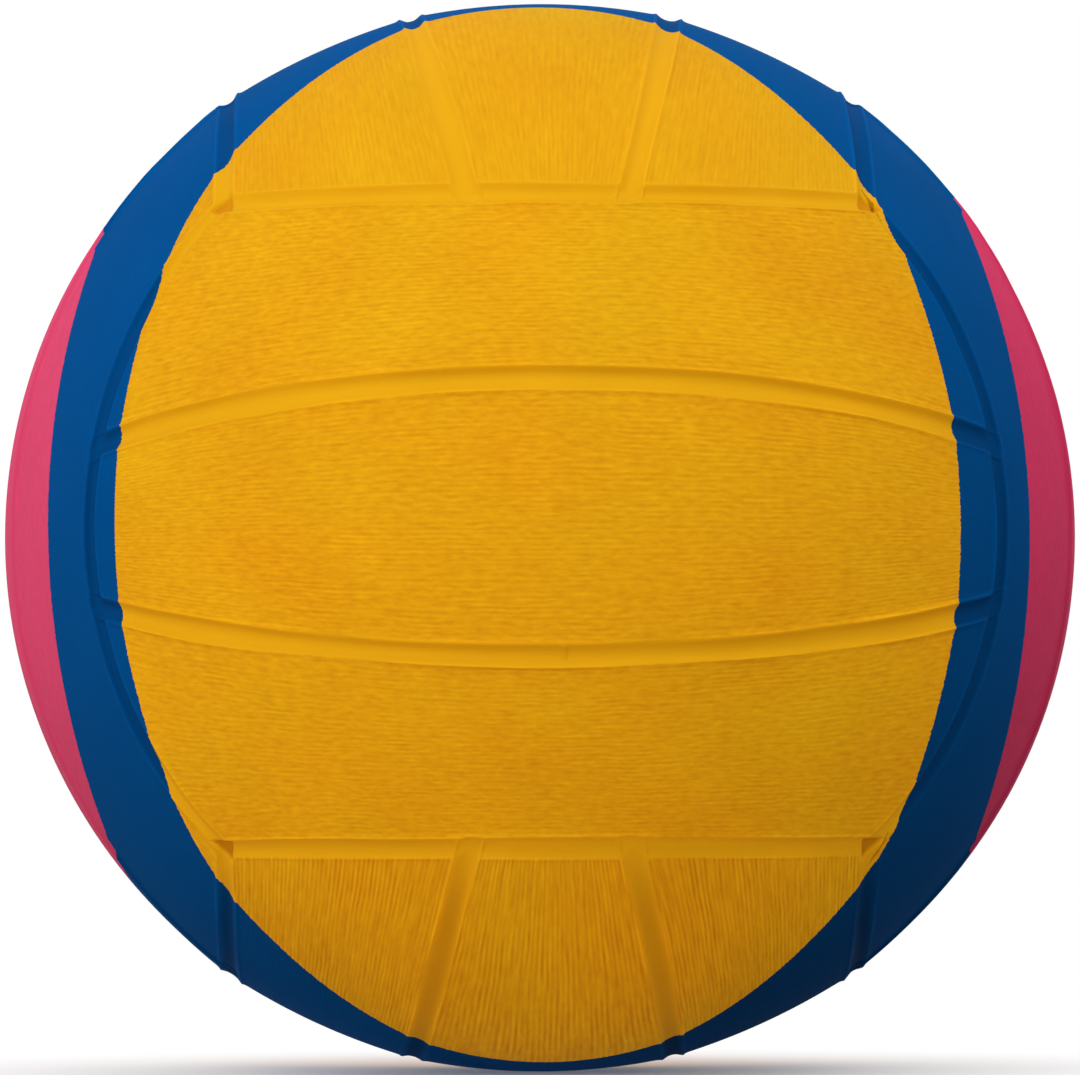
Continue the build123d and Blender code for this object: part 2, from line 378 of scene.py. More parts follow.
def colour_fields(local, axes):
    """How far each point lies inside the yellow and the pink fields, in millimetres.

    Where an edge crosses a groove squarely the sheet was drawn down into it, which pulls the edge back, and
    at the faces' corners the sheet was pressed outwards.
    """
    directions = local @ axes
    stretch = CORNER_STRETCH * np.exp(-((corner_distance(directions) / CORNER_STRETCH_REACH) ** 2))
    to = groove_distance(local)
    along_groove = groove_profile(np.minimum(to["long"], to["inner"])) / GROOVE_DEPTH
    end_groove = groove_profile(to["end"]) / GROOVE_DEPTH
    along, across, _ = axes
    fields = {"right_half": BALL_RADIUS * (directions @ LAY_UP)[:, 0]}
    for name, axis, half_sideways, half_up in COLOUR_FIELDS:
        distance, growth = field_distance(directions, np.array(axis), half_sideways, half_up)
        squarely = np.maximum(along_groove * (growth @ along) ** 2, end_groove * (growth @ across) ** 2)
        fields[name] = distance + stretch - GROOVE_DRAW * np.clip(squarely, 0, 1)
    return fields


def keep_inside(points, triangles, value):
    """The part of a sheet of triangles where value is over 0. Triangles that cross 0 are cut along it."""
    inside = value > 0
    count = inside[triangles].sum(1)

    def odd_first(chosen, odd):
        first = np.argmax(odd, 1)[:, None]
        return np.take_along_axis(chosen, (first + np.arange(3)) % 3, 1)

    one = triangles[count == 1]
    one = odd_first(one, inside[one])
    two = triangles[count == 2]
    two = odd_first(two, ~inside[two])
    cuts = np.concatenate([one[:, [0, 1]], one[:, [0, 2]], two[:, [0, 1]], two[:, [0, 2]]])
    ends, back = np.unique(np.sort(cuts, 1), axis=0, return_inverse=True)
    low, high = ends.T
    share = (value[low] / (value[low] - value[high]))[:, None]
    made = unit(points[low] + share * (points[high] - points[low]))
    sizes = [len(one), 2 * len(one), 2 * len(one) + len(two)]
    first, second, third, fourth = np.split(back.reshape(-1) + len(points), sizes)
    kept = np.concatenate([
        triangles[count == 3],
        np.stack([one[:, 0], first, second], 1),
        np.stack([third, two[:, 1], two[:, 2]], 1),
        np.stack([third, two[:, 2], fourth], 1),
    ])
    return np.concatenate([points, made]), kept


def used_only(points, triangles):
    """The sheet without the points that no triangle uses."""
    used, back = np.unique(triangles, return_inverse=True)
    return points[used], back.reshape(-1, 3)


def rim_edges(triangles):
    """Directed edges that only one triangle has."""
    edges = triangles[:, [0, 1, 1, 2, 2, 0]].reshape(-1, 2)
    key = np.sort(edges, 1)
    _, first, count = np.unique(key, axis=0, return_index=True, return_counts=True)
    return edges[first[count == 1]]


def valve_ring(points, triangles):
    """A ring of finer rows between the round cut about the valve and the valve's hole.

    It is in the rear face's axes. Its outer row is the cut's own points, and the rows draw in on the same
    bearings, closer by the hole.
    """
    rim = np.unique(rim_edges(triangles))
    axes = face_axes("rear")
    near = rim[valve_distance(points[rim] @ axes) < VALVE_PATCH_RADIUS + VALVE_RIM_SLACK]
    outer = points[near]
    bearing = np.arctan2(outer[:, 1], outer[:, 0])
    order = np.argsort(bearing)
    outer, bearing = outer[order], bearing[order]
    reach = valve_distance(outer @ axes)
    share = (np.arange(VALVE_PATCH_RINGS + 1) / VALVE_PATCH_RINGS)[:, None] ** VALVE_RING_POWER
    radius = (reach * (1 - share) + VALVE_HOLE_RADIUS * share) / BALL_RADIUS
    ring = np.stack([
        np.sin(radius) * np.cos(bearing),
        np.sin(radius) * np.sin(bearing),
        np.cos(radius),
    ], -1)
    ring[0] = outer
    index = np.arange(ring.shape[0] * ring.shape[1]).reshape(ring.shape[:2])
    a, b = index[:-1], np.roll(index[:-1], -1, 1)
    d, c = index[1:], np.roll(index[1:], -1, 1)
    faces = np.stack([a, b, c, a, c, d], -1).reshape(-1, 3)
    return ring.reshape(-1, 3), faces


def cover_part(face, wanted):
    """The stretch of one face's grid that belongs to one colour sheet, in the face's own axes."""
    points, triangles = face_grid()
    axes = face_axes(face)
    for name, side in wanted:
        value = side * colour_fields(points, axes)[name]
        points, triangles = keep_inside(points, triangles, value)
        points, triangles = used_only(points, triangles)
        if len(triangles) == 0:
            return points, triangles
    if face == "rear":
        past_valve = valve_distance(points @ axes) - VALVE_PATCH_RADIUS
        if (past_valve < 0).any():
            points, triangles = keep_inside(points, triangles, past_valve)
            points, triangles = used_only(points, triangles)
            ring, faces = valve_ring(points, triangles)
            triangles = np.concatenate([triangles, faces + len(points)])
            points = np.concatenate([points, ring])
    return points, triangles


# What the materials read at each point of a cover sheet
READINGS = ("groove", "pit", "relief_mm", "yellow_mm", "pink_mm", "flecks", "ribs")


def cover_sheet(name, wanted):
    """One colour sheet of the cover as a closed mesh: moulded outside, round inside and the rim between."""
    places, triangles, grain, readings = [], [], [], []
    start = 0
    for face, (_, _, start_of_grain, drawn_out, spacing, flecks, ribs) in FACES.items():
        local, part = cover_part(face, wanted)
        if len(part) == 0:
            continue
        axes = face_axes(face)
        directions = local @ axes
        height, groove, pit, lips = relief(local, directions)
        fields = colour_fields(local, axes)
        yellow = np.maximum(fields["front_yellow"], fields["rear_yellow"])
        pink = np.maximum(fields["left_pink"], fields["right_pink"])
        along = BALL_RADIUS * np.arctan2(local[:, 0], local[:, 2]) / drawn_out
        places.append(np.concatenate([directions, height[:, None]], 1))
        grain.append(np.stack([along + start_of_grain, grain_lines(local, spacing)], 1))
        strengths = np.full(len(local), flecks), np.full(len(local), ribs)
        fields_mm = np.clip([yellow, pink], -FIELD_REACH, FIELD_REACH)
        readings.append(np.stack([groove, pit, lips, *fields_mm, *strengths], 1))
        triangles.append(part + start)
        start += len(local)
    places, grain, readings = np.concatenate(places), np.concatenate(grain), np.concatenate(readings)
    triangles = np.concatenate(triangles)
    spot = np.round(places[:, :3] * WELDS_PER_RADIUS).astype(np.int64)
    _, first, weld = np.unique(spot, axis=0, return_index=True, return_inverse=True)
    welded = weld.reshape(-1)[triangles]
    sound = (welded[:, 0] != welded[:, 1]) & (welded[:, 1] != welded[:, 2]) & (welded[:, 2] != welded[:, 0])
    welded, triangles = welded[sound], triangles[sound]
    directions, height = places[first, :3], places[first, 3]
    outside = directions * (BALL_RADIUS + height)[:, None]
    inside = directions * (BALL_RADIUS - COVER_THICKNESS)
    rim = rim_edges(welded)
    below = rim + len(first)
    a, b, c, d = rim[:, 0], below[:, 0], below[:, 1], rim[:, 1]
    walls = np.stack([a, b, c, a, c, d], 1).reshape(-1, 3)
    faces = np.concatenate([welded, welded[:, ::-1] + len(first), walls])
    rim_grain = np.zeros((len(first), 2))
    rim_grain[weld.reshape(-1)] = grain
    wall_grain = rim_grain[walls.reshape(-1) % len(first)]
    corner_grain = np.concatenate([
        grain[triangles.reshape(-1)],
        grain[triangles[:, ::-1].reshape(-1)],
        wall_grain,
    ])
    vertices = np.concatenate([outside, inside])
    numbers = np.concatenate([readings[first], readings[first]])
    mesh = mesh_of(name, vertices * MM, faces)
    layer = mesh.uv_layers.new(name="grain")
    layer.uv.foreach_set("vector", corner_grain.astype(np.float32).reshape(-1))
    for column, reading in enumerate(READINGS):
        held = mesh.attributes.new(reading, "FLOAT", "POINT")
        held.data.foreach_set("value", numbers[:, column].astype(np.float32))
    sharpen(mesh, np.concatenate([rim, below]))
    return place(name, mesh)


def mesh_of(name, vertices, faces):
    """A smooth mesh of triangles from whole arrays."""
    mesh = bpy.data.meshes.new(name)
    mesh.vertices.add(len(vertices))
    mesh.vertices.foreach_set("co", vertices.astype(np.float32).reshape(-1))
    mesh.loops.add(faces.size)
    mesh.loops.foreach_set("vertex_index", faces.astype(np.int32).reshape(-1))
    mesh.polygons.add(len(faces))
    mesh.polygons.foreach_set("loop_start", np.arange(0, faces.size, 3, dtype=np.int32))
    mesh.update(calc_edges=True)
    mesh.polygons.foreach_set("use_smooth", np.ones(len(faces), bool))
    return mesh


def sharpen(mesh, edges):
    """Marks these edges of the mesh as sharp, so that smooth shading stops there."""
    ends = np.zeros(2 * len(mesh.edges), np.int32)
    mesh.edges.foreach_get("vertices", ends)
    ends = np.sort(ends.reshape(-1, 2), 1).astype(np.int64)
    edges = np.sort(edges, 1).astype(np.int64)
    width = len(mesh.vertices)
    sharp = np.isin(ends[:, 0] * width + ends[:, 1], edges[:, 0] * width + edges[:, 1])
    held = mesh.attributes.new("sharp_edge", "BOOLEAN", "EDGE")
    held.data.foreach_set("value", sharp)


def place(name, mesh):
    """An object at the origin that holds the mesh."""
    made = bpy.data.objects.new(name, mesh)
    bpy.context.scene.collection.objects.link(made)
    return made


# Materials

class Reading:
    """A number over the surface. Arithmetic on it adds Math nodes to its material."""

    def __init__(self, finish, socket):
        self.finish = finish
        self.socket = socket

    def worked(self, operation, *values):
        sockets = dict(enumerate(values))
        return self.finish.node("ShaderNodeMath", {"operation": operation}, sockets).out()

    def __add__(self, other):
        return self.worked("ADD", self, other)

    __radd__ = __add__

    def __sub__(self, other):
        return self.worked("SUBTRACT", self, other)

    def __rsub__(self, other):
        return self.worked("SUBTRACT", other, self)

    def __mul__(self, other):
        return self.worked("MULTIPLY", self, other)

    __rmul__ = __mul__

    def __truediv__(self, other):
        return self.worked("DIVIDE", self, other)

    def sine(self):
        return self.worked("SINE", self)

    def eased(self, start, stop):
        """A smooth step from 0 at start to 1 at stop."""
        settings = {"interpolation_type": "SMOOTHSTEP"}
        return self.finish.node("ShaderNodeMapRange", settings, {0: self, 1: start, 2: stop}).out()


class Made:
    """A node that was made, with its outputs as readings."""

    def __init__(self, finish, node):
        self.finish = finish
        self.node = node

    def out(self, which=0):
        return Reading(self.finish, self.node.outputs[which])


class Finish:
    """A material with one Principled shader, built node by node."""

    def __init__(self, name, **constants):
        self.material = bpy.data.materials.new(name)
        self.material.use_nodes = True
        self.tree = self.material.node_tree
        self.tree.nodes.clear()
        self.shader = self.tree.nodes.new("ShaderNodeBsdfPrincipled")
        output = self.tree.nodes.new("ShaderNodeOutputMaterial")
        self.tree.links.new(self.shader.outputs["BSDF"], output.inputs["Surface"])
        for socket, value in constants.items():
            self.shader.inputs[socket.replace("_", " ")].default_value = value

    def feed(self, socket, value):
        """Sets a socket to a number, or links a reading to it."""
        if isinstance(value, Reading):
            self.tree.links.new(value.socket, socket)
        else:
            socket.default_value = value

    def node(self, kind, settings=None, sockets=None):
        """A node of that kind with its settings, then its sockets' values or links."""
        made = self.tree.nodes.new(kind)
        for key, value in (settings or {}).items():
            setattr(made, key, value)
        for key, value in (sockets or {}).items():
            self.feed(made.inputs[key], value)
        return Made(self, made)

    def attribute(self, name):
        return self.node("ShaderNodeAttribute", {"attribute_name": name}).out("Fac")

    def noise(self, x, y, cell, detail=1.0):
        """Noise over a plane with cells of that size in x and y, between about 0 and 1."""
        flat = self.node("ShaderNodeCombineXYZ", None, {0: x / cell[0], 1: y / cell[1]}).out()
        sockets = {"Vector": flat, "Scale": 1.0, "Detail": detail}
        return self.node("ShaderNodeTexNoise", {"noise_dimensions": "2D"}, sockets).out()

    def mix(self, share, first, second):
        """A colour between two colours."""
        settings = {"data_type": "RGBA", "clamp_factor": True}
        return self.node("ShaderNodeMix", settings, {0: share, 6: first, 7: second}).out(2)

    def shaded(self, colour, amount, warmth=0.0):
        """A colour made lighter or darker by a factor, with less green and blue as warmth grows."""
        cool = amount - warmth
        grey = self.node("ShaderNodeCombineColor", None, {0: amount, 1: cool, 2: cool}).out()
        settings = {"data_type": "RGBA", "blend_type": "MULTIPLY", "clamp_factor": True}
        return self.node("ShaderNodeMix", settings, {0: 1.0, 6: colour, 7: grey}).out(2)

    def bump(self, height, distance):
        """A bumped normal, where height 1 stands distance metres proud."""
        sockets = {"Strength": 1.0, "Distance": distance, "Height": height}
        return self.node("ShaderNodeBump", None, sockets).out()


# Colours of the cover's rubber, in linear light, and its gloss. The right side's blue and pink are darker
# copies of the left's: painted shade on the right side
YELLOW = (0.77, 0.393, 0.0042, 1)
LEFT_BLUE = (0.0003, 0.073, 0.268, 1)
SHADED_RIGHT_BLUE = (0.0003, 0.062, 0.223, 1)
LEFT_PINK = (0.68, 0.063, 0.165, 1)
SHADED_RIGHT_PINK = (0.545, 0.034, 0.115, 1)
COVER_GLOSS = 0.05
BLUE_GLOSS = 0.01
COVER_ROUGHNESS = 0.77
FLECK_SHEEN = 0.14
PLAIN_SHEEN = 0.06

# Cells of the grain's noise, along a panel in millimetres and across it in ribs
SWAY_CELL = (10.0, 8.0)
PATCH_CELL = (11.0, 9.0)
THREAD_CELL = (7.0, 0.8)
STREAK_CELL = (5.0, 0.7)
FLECK_CELL = (2.2, 0.9)
RAGGED_CELL = (0.9, 0.5)
CLOUD_CELL = (22.0, 22.0)
TINT_CELL = (35.0, 30.0)
FLECK_DETAIL = 1.5
CLOUD_DETAIL = 3.0

# Strength of the grain: sway in ribs, raggedness and heights in millimetres, the rest as shares
RIB_SWAY = 0.7
RIB_WAVE = 0.1
RIB_WAVE_IN_PATCHES = 0.25
RIB_HEIGHT = 0.07
FLECK_HEIGHT = 0.14
STREAK_SHARE = 0.5
RAGGED_WIDTH = 0.5
GRAIN_ON_BLUE = 0.4
MORE_GRAIN_ON_YELLOW = 0.6
MORE_GRAIN_ON_PINK = 0.4
LIP_BUMP = 0.48
LIP_BUMP_LOST_AT_ENDS = 0.4
LIP_BUMP_MORE_IN_LANES = 0.3

# Where a reading goes over from 0 to 1. Rise, fall and side are in ball radii, sheet edges and lips
# in millimetres, and grooves and pits in shares
SIDE_BAND = (-0.4, 0.4)
LOW_BAND = (0.55, 0.72)
LANE_BAND = (0.62, 0.7)
HIGH_BAND = (0.5, 0.75)
ENDS_SQUARED_BAND = (0.27, 0.4)
LOW_PIT_BAND = (-0.3, 0.3)
PIT_BAND = (0.3, 0.9)
PLAIN_BAND = (0.02, 0.25)
PATCH_BAND = (0.3, 0.7)
FLOOR_BAND = (0.15, 0.6)
SHEET_EDGE_BAND = (-0.06, 0.06)
LIP_LIGHT_BAND = (0.05, 0.25)
TICK_SIDE_BAND = (0.05, 1.0)
TICK_LIFT = 0.007
TICK_ROW = float(np.sin(STRIP_HALF_ANGLE)) - TICK_LIFT
TICK_ROW_SQUARED_BAND = (0.00005, 0.0004)
TICK_FLOOR_BAND = (0.1, 0.6)

# Shares by which the rubber is lighter, darker or warmer. Those of groove floors, lips, pits and the tick,
# and the downward ones, are painted shade and painted light
MEAN_TONE = 0.95
CLOUD_TONE = 0.12
RIB_TONE = 0.32
FLECK_TONE = 0.4
# Painted shade and painted light in groove floors: darker on the underside and on blue, lighter near the
# top and on yellow
PAINTED_GROOVE_SHADE_LOW = 0.18
PAINTED_GROOVE_SHADE_BLUE = 0.17
PAINTED_GROOVE_LIGHT_HIGH = 0.03
PAINTED_GROOVE_LIGHT_YELLOW = 0.04
PAINTED_GROOVE_SHADE = 0.02
# Painted highlights along the groove lips
PAINTED_LIP_HIGHLIGHT = 0.07
PAINTED_LIP_HIGHLIGHT_LOW = 0.08
PAINTED_LIP_HIGHLIGHT_BLUE = 0.1
# Painted shade in the corner pits, stronger on the underside
PAINTED_PIT_SHADE = 0.1
PAINTED_PIT_SHADE_LOW = 0.16
# Painted shade along the vent tick
PAINTED_TICK_SHADE = 0.04
# Painted shade on blue and pink from top to bottom, and how much more of it there is on the right side
DOWNWARD_PAINTED_SHADE = 0.25
MORE_DOWNWARD_PAINTED_SHADE_ON_RIGHT = 0.25
PANEL_WARMTH = 0.02
TINT_WARMTH = 0.25
LINES_COOLNESS = 0.7
# Warmer tint of the painted shade in the corner pits
PAINTED_PIT_SHADE_WARMTH = 0.15
# Hue of the painted shade in underside grooves, and of the painted light on yellow groove floors
PAINTED_GROOVE_SHADE_WARMTH_LOW = 0.07
PAINTED_GROOVE_LIGHT_COOLNESS = 0.03


def cover_finish(name, gloss):
    """Matte moulded rubber with a fine broken grain along each panel, and ragged edges where sheets meet.

    Blue and pink carry painted shade: they go over to darker copies on the right side, and are painted
    darker from top to bottom, more so on the right.
    A vent tick crosses the front's lower inner groove. Groove floors, pits and the tick carry painted
    shade, and lips, yellow groove floors and groove floors near the top carry painted light.
    """
    finish = Finish(name, Specular_IOR_Level=gloss)
    places = finish.node("ShaderNodeUVMap", {"uv_map": "grain"}).out()
    parts = finish.node("ShaderNodeSeparateXYZ", None, {0: places})
    along, across = parts.out(0), parts.out(1)
    body = finish.node("ShaderNodeTexCoord").out("Object")
    spot = finish.node("ShaderNodeSeparateXYZ", None, {0: body})
    rise = spot.out(2) / (BALL_RADIUS * MM)
    fall = 0 - rise
    to_right = (spot.out(0) / (BALL_RADIUS * MM)).eased(*SIDE_BAND)
    groove, pit, lips = finish.attribute("groove"), finish.attribute("pit"), finish.attribute("relief_mm")
    plain = (groove + pit).eased(*PLAIN_BAND)
    swayed = across + (finish.noise(along, across, SWAY_CELL) - 0.5) * RIB_SWAY
    patch = finish.noise(along, across, PATCH_CELL).eased(*PATCH_BAND)
    thread = finish.noise(along, swayed, THREAD_CELL) - 0.5
    rib = (swayed * (2 * np.pi)).sine() * (RIB_WAVE + patch * RIB_WAVE_IN_PATCHES) + thread
    streak = finish.noise(along, swayed, STREAK_CELL) - 0.5
    fleck = finish.noise(along, swayed, FLECK_CELL, FLECK_DETAIL) - 0.5
    ragged = (finish.noise(along, across, RAGGED_CELL) - 0.5) * RAGGED_WIDTH
    yellow = (finish.attribute("yellow_mm") + ragged).eased(*SHEET_EDGE_BAND)
    pink = (finish.attribute("pink_mm") + ragged).eased(*SHEET_EDGE_BAND)
    # Painted shade: blue and pink go over to darker copies on the ball's right side
    blue_with_painted_side_shade = finish.mix(to_right, LEFT_BLUE, SHADED_RIGHT_BLUE)
    pink_with_painted_side_shade = finish.mix(to_right, LEFT_PINK, SHADED_RIGHT_PINK)
    base = finish.mix(yellow, finish.mix(pink, blue_with_painted_side_shade, pink_with_painted_side_shade), YELLOW)
    grain_share = GRAIN_ON_BLUE + yellow * MORE_GRAIN_ON_YELLOW + pink * MORE_GRAIN_ON_PINK
    bare = (1 - plain) * grain_share
    ribbed = rib * finish.attribute("ribs") * bare
    flecked = (streak * STREAK_SHARE + fleck) * finish.attribute("flecks") * bare
    cloud = finish.noise(along, across, CLOUD_CELL, CLOUD_DETAIL) - 0.5
    lines = ribbed * RIB_TONE + flecked * FLECK_TONE
    low = fall.eased(*LOW_BAND)
    high = rise.eased(*HIGH_BAND)
    on_blue = (1 - yellow) * (1 - pink)
    # Painted shade in groove floors, darker on the underside and on blue, and painted light near the top
    painted_groove_shade = low * PAINTED_GROOVE_SHADE_LOW + on_blue * PAINTED_GROOVE_SHADE_BLUE - high * PAINTED_GROOVE_LIGHT_HIGH
    painted_groove_shade = groove.eased(*FLOOR_BAND) * painted_groove_shade
    # Painted highlight along the lips, stronger on the underside and on blue
    painted_lip_highlight = PAINTED_LIP_HIGHLIGHT + low * PAINTED_LIP_HIGHLIGHT_LOW + on_blue * PAINTED_LIP_HIGHLIGHT_BLUE
    painted_lip_highlight = lips.eased(*LIP_LIGHT_BAND) * painted_lip_highlight
    from_tick = (along - VENT_TICK_PLACE) / VENT_TICK_HALF_WIDTH
    from_row = rise + TICK_ROW
    on_row = 1 - (from_row * from_row).eased(*TICK_ROW_SQUARED_BAND)
    on_floor = groove.eased(*TICK_FLOOR_BAND)
    tick = (1 - (from_tick * from_tick).eased(*TICK_SIDE_BAND)) * on_row * on_floor
    in_pit = pit.eased(*PIT_BAND)
    # Painted shade in the corner pits, stronger on the underside
    painted_pit_shade = in_pit * (PAINTED_PIT_SHADE + fall.eased(*LOW_PIT_BAND) * PAINTED_PIT_SHADE_LOW)
    # Painted light on yellow groove and pit floors, painted shade on the others
    painted_groove_light_and_shade = plain * (yellow * PAINTED_GROOVE_LIGHT_YELLOW - PAINTED_GROOVE_SHADE)
    tone = MEAN_TONE + cloud * CLOUD_TONE + lines + painted_groove_light_and_shade + painted_lip_highlight
    # The vent tick is painted darker as well as bumped
    tone = tone - painted_pit_shade - painted_groove_shade - tick * PAINTED_TICK_SHADE
    # Painted shade: blue and pink are darker towards the bottom and lighter towards the top, more so on the
    # right side
    downward_painted_shade = (DOWNWARD_PAINTED_SHADE + to_right * MORE_DOWNWARD_PAINTED_SHADE_ON_RIGHT) * (1 - yellow)
    tone = tone * (1 + rise * downward_painted_shade)
    tint = finish.noise(along, across, TINT_CELL) - 0.5
    panel_warmth = (PANEL_WARMTH + tint * TINT_WARMTH - lines * LINES_COOLNESS) * (1 - plain)
    # Hue of the painted shade and light: warmer in pits and underside grooves, cooler on yellow groove
    # floors
    painted_groove_and_pit_warmth = in_pit * PAINTED_PIT_SHADE_WARMTH + plain * (low * PAINTED_GROOVE_SHADE_WARMTH_LOW - PAINTED_GROOVE_LIGHT_COOLNESS)
    warmth = (panel_warmth + painted_groove_and_pit_warmth) * yellow
    finish.feed(finish.shader.inputs["Base Color"], finish.shaded(base, tone, warmth))
    roughness = COVER_ROUGHNESS - flecked * FLECK_SHEEN - plain * PLAIN_SHEEN
    finish.feed(finish.shader.inputs["Roughness"], roughness)
    ends = (rise * rise).eased(*ENDS_SQUARED_BAND)
    in_lanes = fall.eased(*LANE_BAND)
    lip_bump = LIP_BUMP - ends * LIP_BUMP_LOST_AT_ENDS + in_lanes * LIP_BUMP_MORE_IN_LANES
    raised = ribbed * RIB_HEIGHT + flecked * FLECK_HEIGHT + lips * lip_bump
    raised = raised + tick * VENT_TICK_HEIGHT
    finish.feed(finish.shader.inputs["Normal"], finish.bump(raised, MM))
    return finish.material


# Skins of the inner pieces: cells of noise in a metre, and sizes in millimetres
CLOUDS_PER_METRE = 90.0
PEBBLES_PER_METRE = 2600.0
PEBBLE_HEIGHT = 0.02
THREAD_PITCH = 0.8
THREAD_HEIGHT = 0.15
WINDING_AXES = ((0.6, 0.2, 1.0), (-0.9, 0.5, 0.4), (0.3, -1.0, 0.7))


def plain_rubber(name, colour, roughness):
    """Plain cast rubber: a clouded colour and a fine pebbled skin."""
    finish = Finish(name, Specular_IOR_Level=0.4)
    place_of = finish.node("ShaderNodeTexCoord").out("Object")
    cloudy = {"Vector": place_of, "Scale": CLOUDS_PER_METRE, "Detail": CLOUD_DETAIL}
    cloud = finish.node("ShaderNodeTexNoise", None, cloudy).out()
    pebbled = {"Vector": place_of, "Scale": PEBBLES_PER_METRE, "Detail": 2.0}
    pebble = finish.node("ShaderNodeTexNoise", None, pebbled).out()
    finish.feed(finish.shader.inputs["Base Color"], finish.shaded(colour, 0.85 + cloud * 0.3))
    finish.feed(finish.shader.inputs["Roughness"], roughness + (pebble - 0.5) * 0.15)
    finish.feed(finish.shader.inputs["Normal"], finish.bump(pebble, PEBBLE_HEIGHT * MM))
    return finish.material


def wound_thread(name, colour):
    """Layers of thread wound round the ball on crossing great circles."""
    finish = Finish(name, Specular_IOR_Level=0.4)
    place_of = finish.node("ShaderNodeTexCoord").out("Object")
    projected = {"operation": "DOT_PRODUCT"}
    lanes = 0
    for axis in WINDING_AXES:
        along = finish.node("ShaderNodeVectorMath", projected, {0: place_of, 1: axis}).out(1)
        lanes = lanes + (along * (2 * np.pi / (THREAD_PITCH * MM))).sine() * 0.5 + 0.5
    share = lanes / len(WINDING_AXES)
    finish.feed(finish.shader.inputs["Base Color"], finish.shaded(colour, 0.7 + share * 0.4))
    finish.feed(finish.shader.inputs["Roughness"], 0.6 - share * 0.15)
    finish.feed(finish.shader.inputs["Normal"], finish.bump(share, THREAD_HEIGHT * MM))
    return finish.material


# Pieces of the ball

SHEETS = {
    "front_yellow_sheet": ("cover_front_yellow", "yellow_rubber", [("front_yellow", 1)]),
    "rear_yellow_sheet": ("cover_rear_yellow", "yellow_rubber", [("rear_yellow", 1)]),
    "left_pink_sheet": ("cover_left_pink", "pink_rubber", [("left_pink", 1)]),
    "right_pink_sheet": ("cover_right_pink", "pink_rubber", [("right_pink", 1)]),
    "left_blue_sheet": (
        "cover_left_blue",
        "blue_rubber",
        [("front_yellow", -1), ("rear_yellow", -1), ("left_pink", -1), ("right_half", -1)],
    ),
    "right_blue_sheet": (
        "cover_right_blue",
        "blue_rubber",
        [("front_yellow", -1), ("rear_yellow", -1), ("right_pink", -1), ("right_half", 1)],
    ),
}

for sheet_name, (node, slot, wanted) in SHEETS.items():
    sheet = cover_sheet(sheet_name, wanted)
    gloss = BLUE_GLOSS if slot == "blue_rubber" else COVER_GLOSS
    sheet.data.materials.append(cover_finish(sheet_name + "_rubber", gloss))
    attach(sheet, "ball")
    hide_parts(node)

INNER_FINISHES = {
    "carcass": plain_rubber("carcass_coat", (0.05, 0.045, 0.04, 1), 0.7),
    "winding": wound_thread("wound_nylon", (0.75, 0.72, 0.64, 1)),
    "bladder": plain_rubber("butyl_bladder", (0.02, 0.02, 0.02, 1), 0.5),
    "valve_patch": plain_rubber("patch_rubber", (0.03, 0.03, 0.03, 1), 0.55),
    "valve_seat": plain_rubber("valve_seat_rubber", (0.02, 0.02, 0.021, 1), 0.5),
    "valve_core": plain_rubber("valve_core_rubber", (0.035, 0.034, 0.033, 1), 0.45),
}
for node, material in INNER_FINISHES.items():
    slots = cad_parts[node].data.materials
    slots.clear()
    slots.append(material)

# Floor, light and camera

scene = bpy.context.scene
floor_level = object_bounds()[0].z
FLOOR_HALF = 12.0
floor_mesh = bpy.data.meshes.new("floor")
floor_mesh.from_pydata(
    [(x, y, floor_level) for x, y in ((-1, -1), (1, -1), (1, 1), (-1, 1))], [], [(0, 1, 2, 3)]
)
floor_mesh.transform(Matrix.Diagonal((FLOOR_HALF, FLOOR_HALF, 1, 1)))
floor = place("floor", floor_mesh)


# Colours of the floor as seen and as it bounces light, and its bands in metres from the ball's middle
SEEN_COLOUR = (0.95, 0.95, 0.95, 1)
BOUNCE_COLOUR = (0.77, 0.67, 0.61, 1)
RIGHT_BOUNCE_COLOUR = (0.5, 0.44, 0.41, 1)
RIGHT_BAND = (-0.02, 0.1)
NEAR_BAND = (0.2, 0.5)
WHITE_BAND = (0.075, 0.17)
UNDER_BALL_BAND = (0.094, 0.12)
UNDER_BALL_GLOW = 0.4


